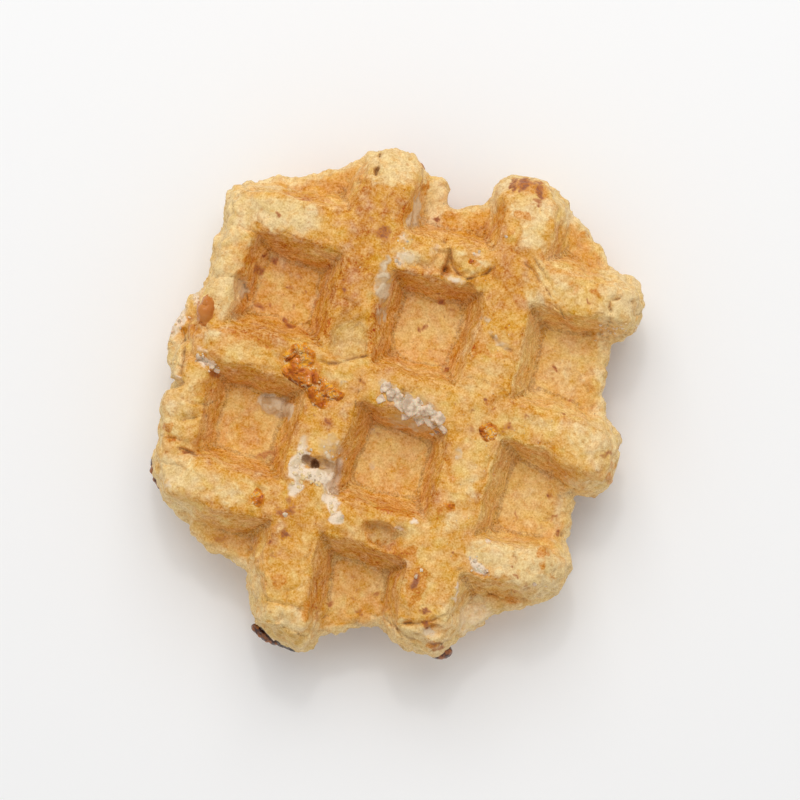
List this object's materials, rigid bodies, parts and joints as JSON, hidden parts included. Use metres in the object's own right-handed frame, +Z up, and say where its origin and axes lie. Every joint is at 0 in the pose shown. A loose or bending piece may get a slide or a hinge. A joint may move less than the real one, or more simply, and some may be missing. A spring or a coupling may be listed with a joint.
{
  "type": "liege waffle",
  "caption": "Thick round waffle of sweet yeast dough with an uneven edge: a deep grid of square pockets on both faces, between rounded ridges that run out past a thin web.",
  "frame": {"origin": "under the middle of the waffle's bounding box, on the surface it lies on", "axes": "+Z up out of the upper face; +X along the rows of pockets; +Y along the columns of pockets"},
  "size_m": [0.0938, 0.1044, 0.0262],
  "materials": {
    "baked_dough": "dry baked crust, golden where it touched the iron and cream at the rim",
    "pearl_sugar": "unmelted crystals of sugar, cloudy white",
    "caramel": "clear amber melted sugar, glossy"
  },
  "bodies": {
    "root": {"waffle": "baked_dough"}
  },
  "joints": []
}
